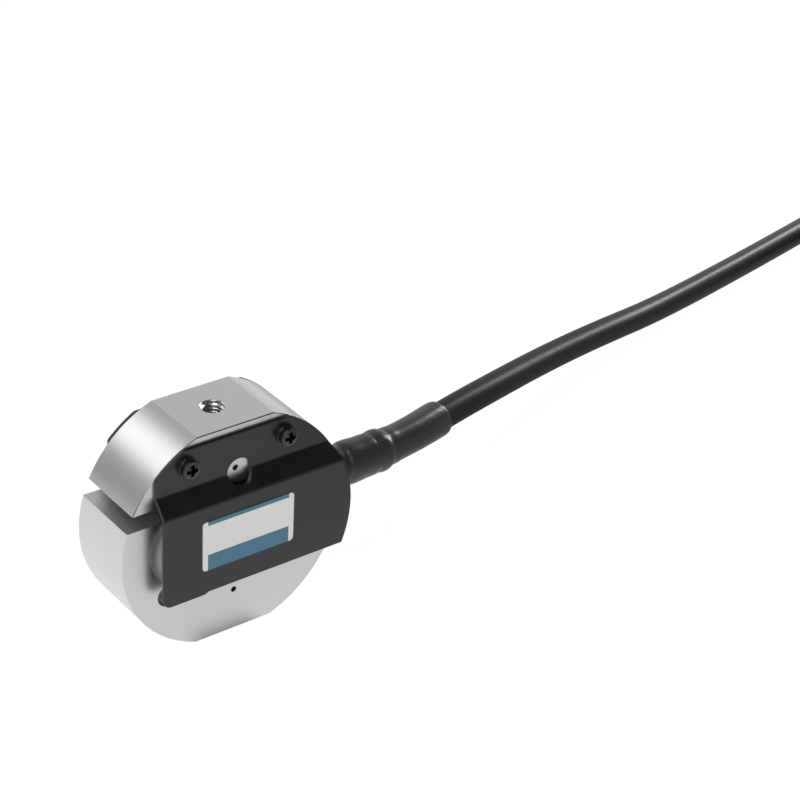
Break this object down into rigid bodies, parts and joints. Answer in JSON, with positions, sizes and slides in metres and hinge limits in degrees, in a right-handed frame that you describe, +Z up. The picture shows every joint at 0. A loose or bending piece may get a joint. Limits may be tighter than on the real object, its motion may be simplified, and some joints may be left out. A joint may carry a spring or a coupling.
{
  "type": "weighing load cell",
  "caption": "Round Z-type weighing load cell: a slotted metal disc with a threaded hole in each flat, bent sheet covers on its faces, and a cable with a plug.",
  "frame": {"origin": "centre of the bottom flat, at the mouth of the lower threaded hole", "axes": "+Z up through both threaded holes, +X towards the cable, -Y out of the labelled face"},
  "size_m": [0.4406, 0.1353, 0.061],
  "materials": {
    "bare_metal": "satin, turned and milled",
    "black_sheet": "black, semi-matt",
    "black_fastener": "black oxide",
    "sealant": "moulded, matt",
    "label": "printed film in plain colour fields",
    "gauge_foil": "amber film",
    "board": "bare board",
    "resistor": "moulded",
    "lead_wire": "enamelled wire",
    "core_insulation": "insulated cores",
    "plated_metal": "nickel plate",
    "black_rubber": "matt",
    "bush_plastic": "plain",
    "shrink_sleeve": "satin",
    "cable_jacket": "satin",
    "strap": "woven",
    "insert_plastic": "moulded",
    "contact_metal": "plated"
  },
  "bodies": {
    "root": {"sensing_element": "bare_metal", "front_cover": "black_sheet", "rear_cover": "black_sheet", "front_cover_screws": "black_fastener", "rear_cover_screws": "black_fastener", "front_spring_washers": "black_fastener", "rear_spring_washers": "black_fastener", "front_plain_washers": "black_fastener", "rear_plain_washers": "black_fastener", "front_gauge_seal": "sealant", "rear_gauge_seal": "sealant", "name_plate": "label", "gauge_upper_left": "gauge_foil", "gauge_lower_left": "gauge_foil", "gauge_upper_right": "gauge_foil", "gauge_lower_right": "gauge_foil", "terminal_board": "board", "balance_resistors": "resistor", "gauge_leads": "lead_wire", "cable_cores": "core_insulation", "cable_gland": "plated_metal", "gland_o_ring": "black_rubber", "core_bush": "bush_plastic", "crimp_ferrule": "plated_metal", "heat_shrink_boot": "shrink_sleeve", "cable_lead": "cable_jacket", "cable_coil": "cable_jacket", "cable_tail": "cable_jacket", "coil_tie": "strap", "plug_boot": "black_rubber", "plug_clamp_nut": "plated_metal", "plug_shell": "plated_metal", "plug_coupling_ring": "plated_metal", "plug_insert": "insert_plastic", "plug_contacts": "contact_metal"}
  },
  "joints": []
}
